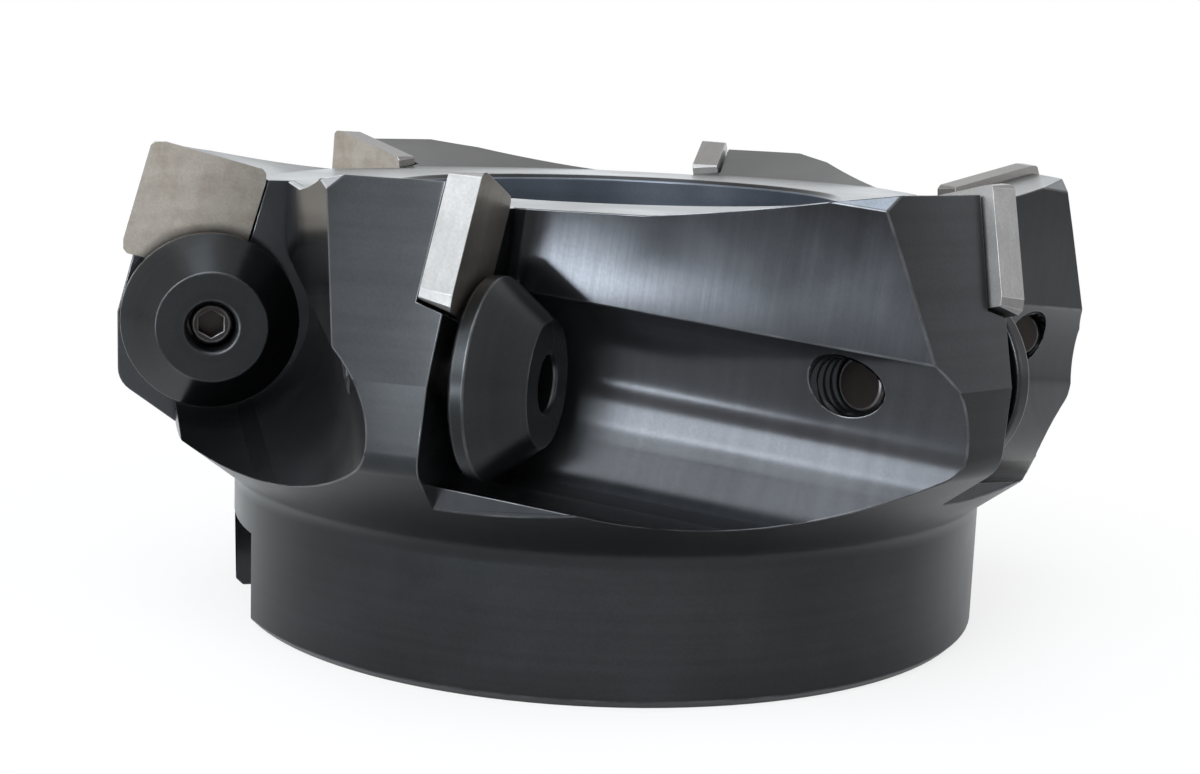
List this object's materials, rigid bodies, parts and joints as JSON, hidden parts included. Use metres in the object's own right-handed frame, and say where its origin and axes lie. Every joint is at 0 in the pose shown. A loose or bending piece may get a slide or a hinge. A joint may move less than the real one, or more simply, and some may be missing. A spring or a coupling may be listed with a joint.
{
  "type": "indexable face mill",
  "caption": "Shell-type face mill with a fifteen degree lead: square carbide inserts held in open flutes by round wedge clamps, a plain hub, a through bore and a drive keyway.",
  "frame": {"origin": "on the cutter's axis, in the plane of its drive face", "axes": "+Z along the axis from the drive face to the cutting edges; the keyway runs 16.9 degrees round from the X axis, with the first tooth at its far end, at 196.9 degrees; seen from above, the teeth cut counter-clockwise"},
  "size_m": [0.1084, 0.1054, 0.0504],
  "materials": {
    "black_oxide_steel": "turned and milled alloy steel, blackened, with worn bright edges",
    "ground_carbide": "ground uncoated carbide, warm grey, satin",
    "clamp_steel": "turned hardened steel, dark, with fine turning marks",
    "screw_steel": "dark oiled steel"
  },
  "bodies": {
    "root": {"cutter_body": "black_oxide_steel", "insert_1": "ground_carbide", "clamp_1": "clamp_steel", "clamp_screw_1": "screw_steel", "insert_2": "ground_carbide", "clamp_2": "clamp_steel", "clamp_screw_2": "screw_steel", "insert_3": "ground_carbide", "clamp_3": "clamp_steel", "clamp_screw_3": "screw_steel", "insert_4": "ground_carbide", "clamp_4": "clamp_steel", "clamp_screw_4": "screw_steel", "insert_5": "ground_carbide", "clamp_5": "clamp_steel", "clamp_screw_5": "screw_steel", "insert_6": "ground_carbide", "clamp_6": "clamp_steel", "clamp_screw_6": "screw_steel"}
  },
  "joints": []
}
